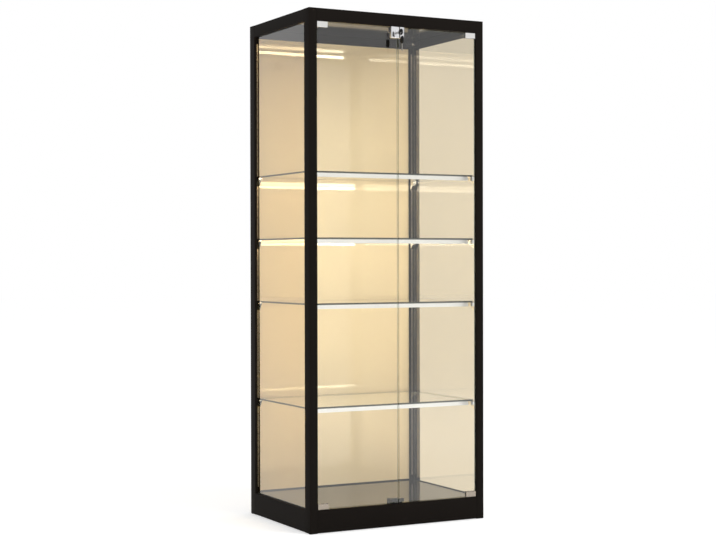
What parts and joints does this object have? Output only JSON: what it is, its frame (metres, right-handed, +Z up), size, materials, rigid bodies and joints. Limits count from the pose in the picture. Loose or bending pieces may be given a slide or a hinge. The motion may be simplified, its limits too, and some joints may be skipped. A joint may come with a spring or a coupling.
{
  "type": "wine display cabinet",
  "caption": "Tall glass display cabinet with a black metal frame, pivoted glass doors with a lock and touch latch, and lit glass shelves for bottles and glasses.",
  "frame": {"origin": "on the floor, under the middle of the cabinet's frame", "axes": "+Z up, +X to the right as seen from the front, +Y to the back; the doors are at -Y"},
  "size_m": [0.7, 0.556, 1.8],
  "materials": {
    "frame_black": "satin black powder coat",
    "cap_black": "moulded black plastic",
    "panel_black": "high-gloss black laminate",
    "back_cream": "high-gloss warm cream laminate",
    "clear_glass": "clear toughened glass, polished edges",
    "shelf_glass": "clear toughened glass with a green edge",
    "seal_rubber": "black rubber",
    "bracket_black": "black painted steel",
    "screw_steel": "zinc plated",
    "track_aluminium": "satin anodised",
    "clip_chrome": "polished chrome",
    "channel_aluminium": "light satin anodised",
    "light_board": "white light strip",
    "light_diffuser": "opal diffuser, lit warm white",
    "cap_grey": "grey plastic",
    "driver_white": "white plastic",
    "inlet_black": "black plastic",
    "bush_nylon": "black nylon",
    "latch_black": "black plastic",
    "plunger_grey": "grey plastic with a magnet inside",
    "strike_black": "black lacquered steel",
    "clamp_chrome": "polished chrome",
    "pin_steel": "bright steel",
    "lock_chrome": "polished chrome",
    "key_steel": "nickel plated",
    "key_black": "black plastic"
  },
  "bodies": {
    "cabinet": {"front_left_post": "frame_black", "front_right_post": "frame_black", "rear_left_post": "frame_black", "rear_right_post": "frame_black", "front_top_rail": "frame_black", "rear_top_rail": "frame_black", "left_top_rail": "frame_black", "right_top_rail": "frame_black", "front_plinth": "frame_black", "rear_plinth": "frame_black", "left_plinth": "frame_black", "right_plinth": "frame_black", "post_caps": "cap_black", "glides": "cap_black", "top_panel": "panel_black", "floor_panel": "panel_black", "back_panel": "back_cream", "left_side_glass": "clear_glass", "right_side_glass": "clear_glass", "side_glass_seals": "seal_rubber", "corner_brackets": "bracket_black", "frame_screws": "screw_steel", "shelf_1": "shelf_glass", "shelf_2": "shelf_glass", "shelf_3": "shelf_glass", "shelf_4": "shelf_glass", "shelf_tracks": "track_aluminium", "shelf_clips": "clip_chrome", "shelf_light_channels": "channel_aluminium", "top_light_channel": "channel_aluminium", "light_strips": "light_board", "light_diffusers": "light_diffuser", "light_end_caps": "cap_grey", "light_driver": "driver_white", "power_inlet": "inlet_black", "pivot_bushes": "bush_nylon", "latch_housing": "latch_black"},
    "left_door": {"left_door_glass": "clear_glass", "left_hinge_clamps": "clamp_chrome", "left_hinge_pins": "pin_steel", "left_door_pads": "seal_rubber", "left_door_screws": "screw_steel", "left_strike_plate": "strike_black", "lock_case": "lock_chrome"},
    "right_door": {"right_door_glass": "clear_glass", "right_hinge_clamps": "clamp_chrome", "right_hinge_pins": "pin_steel", "right_door_pads": "seal_rubber", "right_door_screws": "screw_steel", "right_strike_plate": "strike_black", "keeper_case": "lock_chrome"},
    "lock_plug": {"lock_plug": "lock_chrome", "key_blade": "key_steel", "key_bow": "key_black"},
    "lock_bolt": {"lock_bolt": "pin_steel"},
    "spare_key": {"key_ring": "key_steel", "spare_key_bow": "key_black", "spare_key_blade": "key_steel"},
    "left_latch_plunger": {"left_latch_plunger": "plunger_grey"},
    "right_latch_plunger": {"right_latch_plunger": "plunger_grey"}
  },
  "joints": [
    {"name": "left_door_pivot", "type": "hinge", "parent": "cabinet", "child": "left_door", "pos_m": [-0.3055, -0.242, 0.9185], "axis": [0, 0, -1], "range_deg": [0, 110]},
    {"name": "right_door_pivot", "type": "hinge", "parent": "cabinet", "child": "right_door", "pos_m": [0.3055, -0.242, 0.9185], "axis": [0, 0, 1], "range_deg": [0, 110]},
    {"name": "lock_turn", "type": "hinge", "parent": "left_door", "child": "lock_plug", "pos_m": [-0.012, -0.254, 1.7327], "axis": [0, 1, 0], "range_deg": [0, 90]},
    {"name": "bolt_slide", "type": "slide", "parent": "left_door", "child": "lock_bolt", "axis": [1, 0, 0], "range_m": [0, 0.008]},
    {"name": "spare_key_swing", "type": "hinge", "parent": "lock_plug", "child": "spare_key", "pos_m": [-0.012, -0.2955, 1.7312], "axis": [-1, 0, 0], "range_deg": [-10, 60]},
    {"name": "left_latch_press", "type": "slide", "parent": "cabinet", "child": "left_latch_plunger", "axis": [0, 1, 0], "range_m": [0, 0.003], "stiffness_N_per_m": 400},
    {"name": "right_latch_press", "type": "slide", "parent": "cabinet", "child": "right_latch_plunger", "axis": [0, 1, 0], "range_m": [0, 0.003], "stiffness_N_per_m": 400}
  ],
  "couplings": [
    {"joint": "bolt_slide", "follows": "lock_turn", "m_per_rad": 0.005093}
  ]
}
